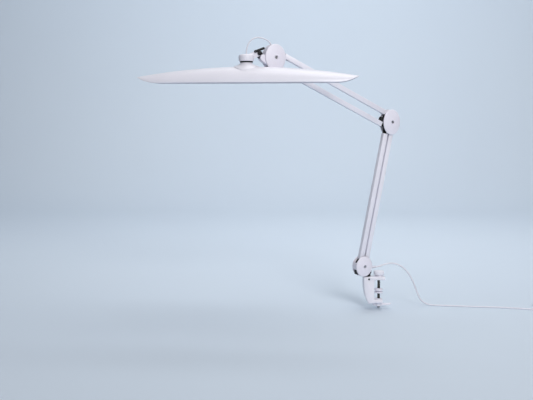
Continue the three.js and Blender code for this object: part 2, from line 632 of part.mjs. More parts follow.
function addShade() {
  addMesh(shadeGroup, 'shade_shell', shadeShell(), paint);
  addMesh(shadeGroup, 'neck_cone', neckCone(), paint);
  const { radius, bottom, top } = SPINDLE_NUT;
  const hexagon = lathe([[0, bottom], [radius, bottom], [radius, top], [0, top]], 6);
  const nut = cut(hexagon, upright(0, 0, SPINDLE_RADIUS + GAP, [bottom - 3, top + 2]));
  addMesh(shadeGroup, 'spindle_nut', nut, steel);
  addLightUnit();
}

// ---------------------------------------------------------------- cables
function cableAlong(points, radius, sides, stepLength) {
  const path = new THREE.CatmullRomCurve3(points, false, 'centripetal');
  const steps = Math.round(path.getLength() / stepLength);
  const options = { steps, extrudePath: path, bevelEnabled: false };
  return new THREE.ExtrudeGeometry(roundSection(radius, sides), options);
}

// The short cable that loops over from the cap's top into the top of the head joint.
function addLoopCable() {
  const capTop = CAP.top + rimZ + GAP;
  const route = [
    [neckX, neckY, capTop],
    [neckX + 1, neckY, capTop + 12],
    [neckX + 7, neckY * 0.8, capTop + 28],
    [neckX + 20, neckY * 0.5, capTop + 41],
    [neckX + 37, 0, capTop + 45],
    [neckX + 53, 0, capTop + 42],
    [HEAD.x - 17, 0, HEAD.z + 44],
    [HEAD.x - 10.5, 0, HEAD.z + 38],
    [HEAD.x - 7, 0, HEAD.z + 30],
  ];
  const points = route.map(([x, y, z]) => new THREE.Vector3(x, y, z));
  addMesh(armPlane, 'loop_cable', cableAlong(points, LOOP_RADIUS, 8, 5), plastic);
}

// The supply cord leaves the base to the right, comes down and lies out to its coil and plug.
function addSupplyCord() {
  const lie = FLOOR + CORD_RADIUS;
  const route = [
    [-15.8, 7.93, 69], [-6, 12.72, 69], [3, 17, 69.8], [16, 21, 73.5], [33, 24.5, 77],
    [54, 28, 75], [80, 31, 60], [104, 33, 27], [119, 34, -10], [133, 34, -37],
    [153, 33, lie + 2.5], [178, 30, lie], [230, 22, lie], [290, 12, lie], [350, 5, lie],
    [405, -9, lie], [448, -21, lie], [480, -26, lie],
  ];
  const points = route.map(([x, y, z]) => new THREE.Vector3(x, y, z));
  addMesh(lamp, 'supply_cord', cableAlong(points, CORD_RADIUS, 8, 10), plastic);
  const inner = COIL.meanRadius - COIL.radial;
  const outer = COIL.meanRadius + COIL.radial;
  const top = FLOOR + COIL.height;
  const ring = [[inner, FLOOR], [outer, FLOOR], [outer, top], [inner, top], [inner, FLOOR]];
  addMesh(lamp, 'cord_coil', lathe(ring, 36).translate(COIL.x, COIL.y, 0), plastic);
}

// A two-pin plug that lies beside the coil.
function addPlug() {
  const grip = plate(slotShape({ x: 0, z: 0 }, { x: 16, z: 0 }, 13), [-9, 9], 2).rotateX(Math.PI / 2);
  const nose = new THREE.CylinderGeometry(4.5, 6, 18, 16).rotateZ(Math.PI / 2).translate(-20, 0, 0);
  const pinHalfSpacing = 5.7;
  const pins = [-pinHalfSpacing, pinHalfSpacing].map((y) =>
    new THREE.CylinderGeometry(2, 2, 20, 12).rotateZ(Math.PI / 2).translate(38, y, 0));
  const body = join(grip, nose, ...pins).rotateZ(Math.PI / 2);
  addMesh(lamp, 'plug', body.translate(PLUG.x, PLUG.y, PLUG.z), plastic);
}

addClamp();
addBase();
addLowerArm();
addElbow();
addUpperArm();
addHead();
addNeck();
addShade();
addLoopCable();
addSupplyCord();
addPlug();

export default lamp;
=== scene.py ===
# Clamp-on architect desk lamp: two parallel-bar arms, a long boat-shaped shade and a free supply cord.
# Shapes are worked out in millimetres and turned into metres when a mesh is made.
import math

import bmesh
import bpy
import numpy as np
from mathutils import Matrix, Vector


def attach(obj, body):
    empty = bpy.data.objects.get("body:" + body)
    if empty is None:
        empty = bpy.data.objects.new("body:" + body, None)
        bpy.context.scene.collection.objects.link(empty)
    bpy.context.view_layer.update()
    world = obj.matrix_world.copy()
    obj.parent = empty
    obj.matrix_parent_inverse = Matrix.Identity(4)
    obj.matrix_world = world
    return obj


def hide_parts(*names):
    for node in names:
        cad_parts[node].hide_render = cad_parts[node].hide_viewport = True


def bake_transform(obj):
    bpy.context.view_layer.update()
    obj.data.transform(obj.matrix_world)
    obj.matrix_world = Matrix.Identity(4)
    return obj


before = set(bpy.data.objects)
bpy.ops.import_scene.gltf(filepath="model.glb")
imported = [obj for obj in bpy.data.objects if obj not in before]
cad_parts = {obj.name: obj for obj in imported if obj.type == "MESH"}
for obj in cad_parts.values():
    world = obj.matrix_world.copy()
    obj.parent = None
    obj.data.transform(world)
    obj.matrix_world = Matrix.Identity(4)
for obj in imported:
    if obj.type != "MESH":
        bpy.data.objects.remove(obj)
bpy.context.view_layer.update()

# ---------------------------------------------------------------- driving dimensions, in millimetres
MM = 0.001
ARM_YAW = math.radians(26)
SHADE_YAW = math.radians(-8)
BASE = (-50.5, -9, 75)
ELBOW = (89.4, 0, 421)
HEAD = (-291.2, 0, 598)
TILT = (-48.8, 9.6)
SHADE = (-386, -172, 603.5)
SHADE_HALF_LENGTH = 303
SHADE_HALF_WIDTH = 50
SHADE_WALL = 1.8
SHADE_FULLNESS = 0.42
CROWN_TIP = 17
CROWN_RISE = 26
RIM_LIFT_START = 0.8
CAP_RADIUS = 20.5
CAP_BOTTOM = 57.6
CAP_TOP = 76.4
CONE_TOP = 54
CONE_TOP_RADIUS = 16
CONE_BASE_RADIUS = 33
SPINDLE_RADIUS = 5
COVER_BACK = 9.7
COVER_DEPTH = 6.9
COVER_SKIRT = 1.2
COVER_SHOULDER = (4.5, 2.6)
COVER_BOSS_RADIUS = 7.8
COVER_RECESS_RADIUS = 4.6
JOINT_COVERS = {
    "base": ((0, 0, 0), 27, 30),
    "elbow": (ELBOW, 28.5, 37),
    "head": (HEAD, 31, 36),
}
SIDE_WALL = 1.6
SIDE_WALL_INSET = 0.4
SIDE_WALL_ARCS = {"base": (155, 196), "head": (98, 205)}
ARM_ROOT_RADIUS = 9.2
ARM_ROOT_HALF_DEPTH = 8.6
GAP = 0.3
SCREW_RADIUS = 4.2
THREAD_PITCH = 3
THREAD_DEPTH = 0.75
LOWER_SCREW = (-50, -4.8)
UPPER_SCREW = (4.3, 59)
PAD_RADIUS = 12
LOCKNUT_RADIUS = 15.5
LOCKNUT_BOTTOM = 48
LOCKNUT_TOP = 60.5
LOCKNUT_FLUTES = 20
FLUTE_DEPTH = 0.55
FLOOR = -54
POST_FROM_BASE = 20.583

CORD_RADIUS = 2.5
COIL_CENTRE = (505, 10)
COIL_MEAN_RADIUS = 29
COIL_COLUMNS = 3
COIL_LAYERS = 2
COIL_PITCH = 2 * CORD_RADIUS + 0.1
TIE_THICKNESS = 0.8
TIE_ANGLE = math.radians(75)
TIE_HALF_WIDTH = 4.5
LOOP_RADIUS = 1.9
PLUG = (560, 29, -44.8)
PLUG_RIBS = 5
PLUG_RIB_SPACING = 4
PIN_SPREAD = 5.7
PIN_RADIUS = 2.0
PIN_END = 48

ARM_PLACE = Matrix.Translation(Vector(BASE) * MM) @ Matrix.Rotation(ARM_YAW, 4, "Z")
SHADE_PLACE = Matrix.Translation(Vector(SHADE) * MM) @ Matrix.Rotation(SHADE_YAW, 4, "Z")
NO_MOVE = Matrix.Identity(4)


# ---------------------------------------------------------------- mesh helpers
def finish_mesh(name, builder, place, sharp_angle=40):
    """Turns a bmesh in millimetres into a shaded object in metres."""
    bmesh.ops.remove_doubles(builder, verts=builder.verts, dist=1e-4)
    bmesh.ops.dissolve_degenerate(builder, edges=builder.edges, dist=1e-5)
    bmesh.ops.recalc_face_normals(builder, faces=builder.faces)
    builder.transform(place @ Matrix.Scale(MM, 4))
    mesh = bpy.data.meshes.new(name)
    builder.to_mesh(mesh)
    builder.free()
    mesh.shade_smooth()
    mesh.set_sharp_from_angle(angle=math.radians(sharp_angle))
    made = bpy.data.objects.new(name, mesh)
    bpy.context.scene.collection.objects.link(made)
    return made


def add_rings(builder, rings, loop=False, capped=True):
    """Joins rings of equal size into a skin; loop joins the last ring to the first."""
    rows = [[builder.verts.new(point) for point in ring] for ring in rings]
    count = len(rows[0])
    pairs = list(zip(rows, rows[1:]))
    if loop:
        pairs.append((rows[-1], rows[0]))
    for lower, upper in pairs:
        for i in range(count):
            j = (i + 1) % count
            builder.faces.new((lower[i], lower[j], upper[j], upper[i]))
    if capped and not loop:
        builder.faces.new(list(reversed(rows[0])))
        builder.faces.new(rows[-1])


def ring_object(name, rings, place=NO_MOVE, loop=False, sharp_angle=40):
    """An object made from one skin of rings."""
    builder = bmesh.new()
    add_rings(builder, rings, loop=loop)
    return finish_mesh(name, builder, place, sharp_angle)


def turns(count):
    """Evenly spaced angles round a full turn."""
    return [2 * math.pi * i / count for i in range(count)]


def rounded(points, radius, steps=4):
    """Rounds the inner corners of an open outline."""
    points = [Vector(p) for p in points]
    made = [points[0]]
    for before, corner, after in zip(points, points[1:], points[2:]):
        reach = min(radius, (before - corner).length * 0.45, (after - corner).length * 0.45)
        start = corner + (before - corner).normalized() * reach
        end = corner + (after - corner).normalized() * reach
        for k in range(steps + 1):
            u = k / steps
            made.append(start * (1 - u) ** 2 + corner * 2 * u * (1 - u) + end * u * u)
    made.append(points[-1])
    return made


def lathe_rings(profile, sides=64, axis="Z"):
    """Rings of a profile of (radius, height) turned about an axis."""
    rings = []
    for radius, height in profile:
        radius = max(radius, 0.01)
        flat = [(radius * math.cos(a), radius * math.sin(a)) for a in turns(sides)]
        if axis == "Z":
            rings.append([(x, y, height) for x, y in flat])
        elif axis == "Y":
            rings.append([(x, height, z) for x, z in flat])
        else:
            rings.append([(height, y, z) for y, z in flat])
    return rings


def moved(rings, x, y, z):
    return [[(px + x, py + y, pz + z) for px, py, pz in ring] for ring in rings]


def slot_outline(a, b, radius, steps=12):
    """Points round a bar with round ends between two points of the arm plane."""
    along = math.atan2(b[1] - a[1], b[0] - a[0])
    outline = []
    for centre, start in ((a, along + math.pi / 2), (b, along - math.pi / 2)):
        for k in range(steps + 1):
            angle = start + math.pi * k / steps
            outline.append((centre[0] + radius * math.cos(angle), centre[1] + radius * math.sin(angle)))
    return outline


def slab_rings(outline, depth, edge, steps=3):
    """A plate across the arm plane with rounded edges, from an outline that bulges outward."""
    count = len(outline)
    normals = []
    for i in range(count):
        before = Vector(outline[i - 1])
        after = Vector(outline[(i + 1) % count])
        direction = after - before
        normals.append(Vector((direction.y, -direction.x)).normalized())
    rows = []
    for k in range(steps + 1):
        turn = (k / steps) * math.pi / 2
        rows.append((edge * (1 - math.sin(turn)), depth[0] + edge * (1 - math.cos(turn))))
    for k in range(steps, -1, -1):
        turn = (k / steps) * math.pi / 2
        rows.append((edge * (1 - math.sin(turn)), depth[1] - edge * (1 - math.cos(turn))))
    return [
        [(p[0] - n.x * inset, y, p[1] - n.y * inset) for p, n in zip(outline, normals)]
        for inset, y in rows
    ]


def smooth_path(points, spacing):
    """A centripetal Catmull-Rom curve through the points, as evenly spaced points."""
    p = np.array(points, float)
    p = np.vstack([2 * p[0] - p[1], p, 2 * p[-1] - p[-2]])
    fine = [p[1]]
    for i in range(1, len(p) - 2):
        quad = p[i - 1:i + 3]
        knots = np.concatenate([[0], np.cumsum(np.sqrt(np.linalg.norm(np.diff(quad, axis=0), axis=1)))])
        for t in np.linspace(knots[1], knots[2], 17)[1:]:
            fine.append(catmull(quad, knots, t))
    fine = np.array(fine)
    lengths = np.concatenate([[0], np.cumsum(np.linalg.norm(np.diff(fine, axis=0), axis=1))])
    count = max(int(round(lengths[-1] / spacing)), 2)
    wanted = np.linspace(0, lengths[-1], count + 1)
    return np.stack([np.interp(wanted, lengths, fine[:, k]) for k in range(3)], axis=1)


def catmull(quad, knots, t):
    """The point of a Catmull-Rom span at parameter t."""
    def between(a, b, low, high):
        return a * (high - t) / (high - low) + b * (t - low) / (high - low)

    first = [between(quad[j], quad[j + 1], knots[j], knots[j + 1]) for j in range(3)]
    second = [between(first[j], first[j + 1], knots[j], knots[j + 2]) for j in range(2)]
    return between(second[0], second[1], knots[1], knots[2])


def tube_rings(points, radius, sides=16):
    """Round sections carried along a path without twisting."""
    p = np.array(points, float)
    tangents = np.gradient(p, axis=0)
    tangents /= np.linalg.norm(tangents, axis=1)[:, None]
    side = np.cross(tangents[0], (0, 0, 1.0))
    if np.linalg.norm(side) < 0.1:
        side = np.cross(tangents[0], (0, 1.0, 0))
    rings = []
    for centre, tangent in zip(p, tangents):
        side = side - tangent * (side @ tangent)
        side /= np.linalg.norm(side)
        other = np.cross(tangent, side)
        ring = [centre + radius * (math.cos(a) * side + math.sin(a) * other) for a in turns(sides)]
        rings.append([tuple(point) for point in ring])
    return rings


# ---------------------------------------------------------------- camera
CAMERA_PLACE = (-0.332, -2.498, 0.523)
CAMERA_TILT = math.radians(5.8)
CAMERA_LENS = 57.9
camera_data = bpy.data.cameras.new("camera")
camera_data.lens = CAMERA_LENS
camera_data.sensor_width = 36
camera_data.clip_start = 0.05
camera = bpy.data.objects.new("camera", camera_data)
camera.location = CAMERA_PLACE
camera.rotation_euler = (math.pi / 2 - CAMERA_TILT, 0, 0)
bpy.context.scene.collection.objects.link(camera)
bpy.context.scene.camera = camera


# ---------------------------------------------------------------- materials
class Nodes:
    """A node material being built; object coordinates are in metres."""

    def __init__(self, name, roughness, metallic=0.0, specular=0.5):
        self.material = bpy.data.materials.new(name)
        self.material.use_nodes = True
        self.tree = self.material.node_tree
        self.shader = self.tree.nodes["Principled BSDF"]
        self.shader.inputs["Roughness"].default_value = roughness
        self.shader.inputs["Metallic"].default_value = metallic
        self.shader.inputs["Specular IOR Level"].default_value = specular
        self.where = self.add("ShaderNodeTexCoord").outputs["Object"]

    def add(self, kind, **inputs):
        node = self.tree.nodes.new(kind)
        for key, value in inputs.items():
            node.inputs[key].default_value = value
        return node

    def link(self, output, target):
        self.tree.links.new(output, target)

    def scaled(self, x, y, z):
        mapping = self.add("ShaderNodeMapping", Scale=(x, y, z))
        self.link(self.where, mapping.inputs["Vector"])
        return mapping.outputs["Vector"]

    def noise(self, scale, detail=3.0, roughness=0.55, where=None):
        node = self.add("ShaderNodeTexNoise", Scale=scale, Detail=detail, Roughness=roughness)
        self.link(where or self.where, node.inputs["Vector"])
        return node.outputs["Fac"]

    def ramp(self, value, stops):
        node = self.add("ShaderNodeValToRGB")
        band = node.color_ramp
        while len(band.elements) < len(stops):
            band.elements.new(0.5)
        for element, (position, colour) in zip(band.elements, stops):
            element.position = position
            element.color = (*colour, 1)
        self.link(value, node.inputs["Fac"])
        return node.outputs["Color"]

    def spread(self, value, low, high):
        node = self.add("ShaderNodeMapRange")
        node.inputs["To Min"].default_value = low
        node.inputs["To Max"].default_value = high
        self.link(value, node.inputs["Value"])
        return node.outputs["Result"]

    def mix(self, factor, a, b):
        node = self.tree.nodes.new("ShaderNodeMix")
        node.data_type = "RGBA"
        self.link(factor, node.inputs[0])
        self.link(a, node.inputs[6])
        self.link(b, node.inputs[7])
        return node.outputs[2]

    def bump(self, height, strength, distance, after=None):
        node = self.add("ShaderNodeBump", Strength=strength, Distance=distance)
        self.link(height, node.inputs["Height"])
        if after is not None:
            self.link(after, node.inputs["Normal"])
        return node.outputs["Normal"]

    def colour(self, output):
        self.link(output, self.shader.inputs["Base Color"])

    def rough(self, output):
        self.link(output, self.shader.inputs["Roughness"])

    def normal(self, output):
        self.link(output, self.shader.inputs["Normal"])


def tinted(colour, change):
    return tuple(min(max(channel * (1 + change), 0), 1) for channel in colour)


def powder_coat(name, colour):
    """Baked satin paint with a slight orange-peel skin and faint handling marks."""
    look = Nodes(name, roughness=0.38, specular=0.5)
    clouds = look.noise(14, detail=5)
    shades = look.ramp(clouds, [(0.32, tinted(colour, -0.035)), (0.68, tinted(colour, 0.02))])
    specks = look.noise(900, detail=1)
    fine = look.ramp(specks, [(0.35, tinted(colour, -0.03)), (0.62, tinted(colour, 0.015))])
    share = look.spread(look.noise(60, detail=2), 0.25, 0.6)
    look.colour(look.mix(share, shades, fine))
    look.rough(look.spread(look.noise(35, detail=6, roughness=0.7), 0.3, 0.48))
    peel = look.bump(look.noise(420, detail=2), 0.16, 0.0004)
    look.normal(look.bump(look.noise(1500, detail=1), 0.06, 0.0002, after=peel))
    look.shader.inputs["Coat Weight"].default_value = 0.12
    look.shader.inputs["Coat Roughness"].default_value = 0.22
    return look.material


def moulded(name, colour):
    """Injection-moulded plastic with a fine spark-eroded grain and soft flow shading."""
    look = Nodes(name, roughness=0.42, specular=0.45)
    flow = look.noise(22, detail=4, where=look.scaled(1, 1, 0.35))
    base = look.ramp(flow, [(0.3, tinted(colour, -0.04)), (0.7, tinted(colour, 0.02))])
    dust = look.noise(260, detail=4)
    dusty = look.ramp(dust, [(0.4, tinted(colour, -0.05)), (0.66, tinted(colour, 0.01))])
    look.colour(look.mix(look.spread(look.noise(45), 0.1, 0.5), base, dusty))
    look.rough(look.spread(look.noise(120, detail=5), 0.34, 0.52))
    look.normal(look.bump(look.noise(1300, detail=2), 0.14, 0.0003))
    look.shader.inputs["Subsurface Weight"].default_value = 0.04
    look.shader.inputs["Subsurface Radius"].default_value = (0.002, 0.002, 0.002)
    return look.material


def black_sheet(name):
    """Black-coated steel: satin, a little worn to brown-grey where it rubs."""
    look = Nodes(name, roughness=0.4, metallic=0.25, specular=0.5)
    wear = look.noise(70, detail=8, roughness=0.7)
    look.colour(look.ramp(wear, [(0.45, (0.011, 0.011, 0.013)), (0.74, (0.035, 0.034, 0.036))]))
    look.rough(look.spread(look.noise(200, detail=4), 0.32, 0.55))
    look.normal(look.bump(look.noise(800, detail=2), 0.12, 0.0003))
    return look.material


def black_rubber(name):
    look = Nodes(name, roughness=0.72, specular=0.3)
    chalk = look.noise(90, detail=6)
    look.colour(look.ramp(chalk, [(0.4, (0.013, 0.013, 0.014)), (0.75, (0.04, 0.04, 0.042))]))
    look.rough(look.spread(look.noise(300, detail=3), 0.6, 0.85))
    look.normal(look.bump(look.noise(1700, detail=2), 0.3, 0.0003))
    return look.material


def bare_steel(name, colour, low_rough, high_rough, stain):
    """Turned or drawn steel with fine lines, and some film of oil."""
    look = Nodes(name, roughness=0.35, metallic=1.0)
    film = look.noise(110, detail=6, roughness=0.65)
    look.colour(look.ramp(film, [(0.35, tinted(colour, -stain)), (0.65, tinted(colour, stain * 0.4))]))
    lines = look.noise(500, detail=3, where=look.scaled(0.3, 0.3, 4))
    look.rough(look.spread(lines, low_rough, high_rough))
    look.normal(look.bump(lines, 0.12, 0.0002))
    return look.material


def milky_panel(name):
    """Opal acrylic with rows of small light-spreading prisms."""
    look = Nodes(name, roughness=0.3, specular=0.5)
    haze = look.noise(30, detail=4)
    look.colour(look.ramp(haze, [(0.3, (0.84, 0.85, 0.86)), (0.7, (0.91, 0.91, 0.90))]))
    prism = look.add("ShaderNodeTexVoronoi", Scale=420, Randomness=0.0)
    look.link(look.where, prism.inputs["Vector"])
    look.rough(look.spread(look.noise(200), 0.24, 0.4))
    look.normal(look.bump(prism.outputs["Distance"], 0.35, 0.0006))
    look.shader.inputs["Subsurface Weight"].default_value = 0.35
    look.shader.inputs["Subsurface Radius"].default_value = (0.004, 0.004, 0.004)
    return look.material


def circuit_board(name):
    """White solder mask with rows of yellowish light chips."""
    look = Nodes(name, roughness=0.35, specular=0.5)
    rows = look.add("ShaderNodeTexBrick", Scale=60)
    rows.inputs["Color1"].default_value = (0.83, 0.72, 0.28, 1)
    rows.inputs["Color2"].default_value = (0.80, 0.68, 0.24, 1)
    rows.inputs["Mortar"].default_value = (0.85, 0.86, 0.85, 1)
    rows.inputs["Mortar Size"].default_value = 0.32
    look.link(look.where, rows.inputs["Vector"])
    look.colour(rows.outputs["Color"])
    look.rough(look.spread(look.noise(150), 0.28, 0.46))
    look.normal(look.bump(rows.outputs["Fac"], 0.3, 0.0005))
    return look.material


def cord_jacket(name, colour):
    """Soft PVC with a dull bloom and faint print-through of the twisted cores."""
    look = Nodes(name, roughness=0.45, specular=0.4)
    bloom = look.noise(40, detail=5)
    look.colour(look.ramp(bloom, [(0.3, tinted(colour, -0.06)), (0.7, tinted(colour, 0.02))]))
    look.rough(look.spread(look.noise(180, detail=4), 0.36, 0.6))
    look.normal(look.bump(look.noise(250, detail=3), 0.12, 0.0004))
    return look.material


LILAC_WHITE = (0.80, 0.79, 0.86)
PLASTIC_WHITE = (0.80, 0.78, 0.86)
MATERIALS = {
    "white_paint": powder_coat("white_paint", LILAC_WHITE),
    "white_plastic": moulded("white_plastic", PLASTIC_WHITE),
    "black_steel": black_sheet("black_steel"),
    "black_rubber": black_rubber("black_rubber"),
    "bright_steel": bare_steel("bright_steel", (0.5, 0.5, 0.52), 0.2, 0.42, 0.12),
    # Steel for the clamp's threaded rods: its near-black olive base colour is a painted dark reflection of
    # dark surroundings on plated rods.
    "dark_steel": bare_steel("dark_steel", (0.10, 0.10, 0.088), 0.3, 0.5, 0.35),
    "diffuser_plastic": milky_panel("diffuser_plastic"),
    "cord_plastic": cord_jacket("cord_plastic", (0.735, 0.735, 0.80)),
    "led_board": circuit_board("led_board"),
}


def dress(made, look, body=None, stands_for=()):
    """Gives a piece its material and the body that it rides on."""
    made.data.materials.clear()
    made.data.materials.append(MATERIALS[look])
    if body:
        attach(made, body)
    if stands_for:
        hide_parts(*stands_for)
    return made


# ---------------------------------------------------------------- supply cord, its coil, tie and plug
LIE = FLOOR + CORD_RADIUS
CORD_EXIT = (-6, 12.72, 69)
CORD_ROUTE = [
    (-15.8, 7.93, 69), CORD_EXIT, (3, 17, 69.8), (16, 21, 73.5), (33, 24.5, 77), (54, 28, 75),
    (80, 31, 60), (104, 33, 27), (119, 34, -10), (133, 34, -37), (153, 33, LIE + 2.5),
    (178, 30, LIE), (230, 22, LIE), (290, 12, LIE), (350, 5, LIE), (405, -9, LIE), (448, -21, LIE),
    (480, -26, LIE),
]


def coil_points():
    """Turns that wind inward on the bottom layer and outward on the next, a diameter apart."""
    bottom = LIE + TIE_THICKNESS + 0.1
    half = COIL_COLUMNS * COIL_PITCH / 2
    per_turn = 24
    points = []
    for layer in range(COIL_LAYERS):
        for k in range(COIL_COLUMNS * per_turn + (1 if layer == COIL_LAYERS - 1 else 0)):
            turn = k / per_turn
            inward = turn * COIL_PITCH
            radius = COIL_MEAN_RADIUS + (half - inward if layer % 2 == 0 else inward - half)
            climb = min(turn / 0.2, 1) if layer else 1
            angle = -math.pi / 2 + 2 * math.pi * (turn + layer * COIL_COLUMNS)
            points.append((
                COIL_CENTRE[0] + radius * math.cos(angle),
                COIL_CENTRE[1] + radius * math.sin(angle),
                bottom + (layer - 1 + climb) * COIL_PITCH,
            ))
    return points


def plug_lead(start):
    """From the coil's last turn, down beside it and round into the plug's nose."""
    nose = (PLUG[0], PLUG[1] - 27, PLUG[2])
    return [
        (start[0] + 11, start[1] + 0.2, start[2] - 0.8),
        (start[0] + 22, start[1] + 0.6, start[2] - 3.2),
        (start[0] + 33, start[1] + 2.5, LIE + 1.0),
        (start[0] + 44, start[1] + 8.5, LIE + 2.2),
        (start[0] + 52, start[1] + 18, nose[2] - 1.5),
        (nose[0], nose[1] - 1, nose[2] - 0.2),
        (nose[0], nose[1] + 6, nose[2]),
    ]


def build_supply_cord():
    """The cord from the gland to the plug; the part on the floor is kept from dipping below it."""
    free = smooth_path(CORD_ROUTE, 15)
    free[:, 2] = np.maximum(free[:, 2], LIE + 0.05)
    coil = coil_points()
    centreline = [tuple(p) for p in free] + coil + plug_lead(coil[-1])
    fine = smooth_path(centreline, 2.5)
    cord = ring_object("supply_cord_run", tube_rings(fine, CORD_RADIUS, 14))
    dress(cord, "cord_plastic", stands_for=("supply_cord", "cord_coil"))
    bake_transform(cord)
    return cord, [tuple(c * MM for c in p) for p in centreline]


def build_tie():
    """A hook-and-loop band round one side of the coil."""
    half_wide = COIL_COLUMNS * COIL_PITCH / 2 + CORD_RADIUS - 0.6
    low = FLOOR + TIE_THICKNESS
    high = FLOOR + TIE_THICKNESS + COIL_LAYERS * COIL_PITCH + 1.1
    corner = 2.6
    outline = []
    for cx, cz, start in (
        (half_wide - corner, low + corner, -90), (half_wide - corner, high - corner, 0),
        (-half_wide + corner, high - corner, 90), (-half_wide + corner, low + corner, 180),
    ):
        for k in range(6):
            turn = math.radians(start + 18 * k)
            outline.append((cx, cz, math.cos(turn), math.sin(turn), corner))
    rings = []
    wide = TIE_HALF_WIDTH
    for width, grow in ((-wide, 0.15), (-wide, 0.75), (wide, 0.75), (wide, 0.15)):
        ring = []
        for cx, cz, nx, nz, r in outline:
            reach = COIL_MEAN_RADIUS + cx + nx * (r + grow)
            ring.append((
                COIL_CENTRE[0] + reach * math.cos(TIE_ANGLE) - width * math.sin(TIE_ANGLE),
                COIL_CENTRE[1] + reach * math.sin(TIE_ANGLE) + width * math.cos(TIE_ANGLE),
                cz + nz * (r + grow),
            ))
        rings.append(ring)
    return dress(ring_object("cord_tie", rings, loop=True, sharp_angle=50), "black_rubber", "clamp")


def build_plug():
    """A flat two-pin plug: a waisted grip with finger ribs, a bending nose and two round pins."""
    builder = bmesh.new()
    sides = 40
    rings = []
    stations = [
        (-13.6, 6.0, 5.6), (-12.4, 9.4, 7.4), (-8, 11.8, 8.4), (-4, 12.2, 8.0), (0, 11.9, 7.7),
        (4, 12.2, 8.0), (9, 12.8, 8.5), (18, 13.0, 8.8), (26, 13.0, 8.8), (28.0, 12.4, 8.2), (29, 11.2, 7.2),
    ]
    for along, wide, tall in stations:
        ring = []
        for a in turns(sides):
            c, s = math.cos(a), math.sin(a)
            ring.append((
                wide * math.copysign(abs(c) ** 0.75, c),
                along,
                tall * math.copysign(abs(s) ** 0.6, s),
            ))
        rings.append(ring)
    add_rings(builder, rings)
    nose = [
        (2.9, -28), (3.4, -28), (3.8, -26.5), (3.6, -25.5), (4.2, -24.5), (4.0, -23.2), (4.6, -22.2),
        (4.4, -20.8), (5.1, -19.8), (4.9, -18.3), (5.7, -17.2), (5.7, -12),
    ]
    add_rings(builder, lathe_rings(nose, 32, "Y"))
    rib_half_length, rib_height, rib_radius, rib_edge = 7, 7.9, 0.7, 0.35
    for k in range(PLUG_RIBS):
        depth = (-7 + PLUG_RIB_SPACING * k, -5.4 + PLUG_RIB_SPACING * k)
        for side in (-1, 1):
            left = (-rib_half_length, side * rib_height)
            right = (rib_half_length, side * rib_height)
            add_rings(builder, slab_rings(slot_outline(left, right, rib_radius, 6), depth, rib_edge, 2))
    body = finish_mesh("plug_body", builder, Matrix.Translation(Vector(PLUG) * MM), 50)
    dress(body, "cord_plastic", "clamp", stands_for=("plug",))
    builder = bmesh.new()
    pin = [(0, 28.4), (PIN_RADIUS, 28.4), (PIN_RADIUS, 45.6), (1.7, 47.2), (0.9, PIN_END), (0, PIN_END)]
    for x in (-PIN_SPREAD, PIN_SPREAD):
        add_rings(builder, moved(lathe_rings(rounded(pin, 0.5), 28, "Y"), x, 0, 0))
    pins = finish_mesh("plug_pins", builder, Matrix.Translation(Vector(PLUG) * MM))
    return body, dress(pins, "bright_steel", "clamp")


def build_strain_relief():
    """A tapered, ribbed sleeve where the supply cord leaves the base joint."""
    profile = [(CORD_RADIUS + 0.1, 6), (CORD_RADIUS + 0.1, 0), (4.9, 0), (4.9, 2.9), (4.2, 3.6)]
    ribs = 5
    for k in range(ribs):
        start = 4.6 + k * 3.1
        size = 4.0 - 0.16 * k
        profile += [(size - 0.7, start), (size - 0.7, start + 0.9), (size, start + 1.4), (size, start + 2.5)]
    profile += [(3.1, 21.2), (2.95, 22), (CORD_RADIUS + 0.1, 22), (CORD_RADIUS + 0.1, 6)]
    rings = moved(lathe_rings(profile, 36, "X"), POST_FROM_BASE + 7 + GAP, 0, -6)
    relief = ring_object("strain_relief", rings, ARM_PLACE, loop=True, sharp_angle=50)
    return dress(relief, "cord_plastic", "base", stands_for=("cord_gland",))


supply_cord, supply_path = build_supply_cord()
cord_tie = build_tie()
plug_body, plug_pins = build_plug()
build_strain_relief()

# ---------------------------------------------------------------- loop cable over the head
neck_offset = Vector((SHADE[0] - BASE[0], SHADE[1] - BASE[1]))
NECK_X = neck_offset.x * math.cos(ARM_YAW) + neck_offset.y * math.sin(ARM_YAW)
NECK_Y = -neck_offset.x * math.sin(ARM_YAW) + neck_offset.y * math.cos(ARM_YAW)
RIM_Z = SHADE[2] - BASE[2]


def build_loop_cable():
    """The cable that arches from the neck's cap over the head joint."""
    top = CAP_TOP + RIM_Z + GAP
    route = [
        (NECK_X, NECK_Y, top - 2), (NECK_X + 1, NECK_Y, top + 12), (NECK_X + 7, NECK_Y * 0.8, top + 28),
        (NECK_X + 20, NECK_Y * 0.5, top + 41), (NECK_X + 37, 0, top + 45), (NECK_X + 53, 0, top + 42),
        (HEAD[0] - 17, 0, HEAD[2] + 44), (HEAD[0] - 10.5, 0, HEAD[2] + 38), (HEAD[0] - 7, 0, HEAD[2] + 30),
    ]
    centreline = smooth_path(route, 6)
    rings = tube_rings(smooth_path(centreline, 2), LOOP_RADIUS, 14)
    cable = ring_object("loop_cable_run", rings, ARM_PLACE)
    dress(cable, "cord_plastic", stands_for=("loop_cable",))
    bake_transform(cable)


build_loop_cable()


# ---------------------------------------------------------------- joint covers
def oval_ring(size_x, size_z, y, sides=96):
    """One ring of a joint cover."""
    return [(size_x * math.cos(a), y, size_z * math.sin(a)) for a in turns(sides)]


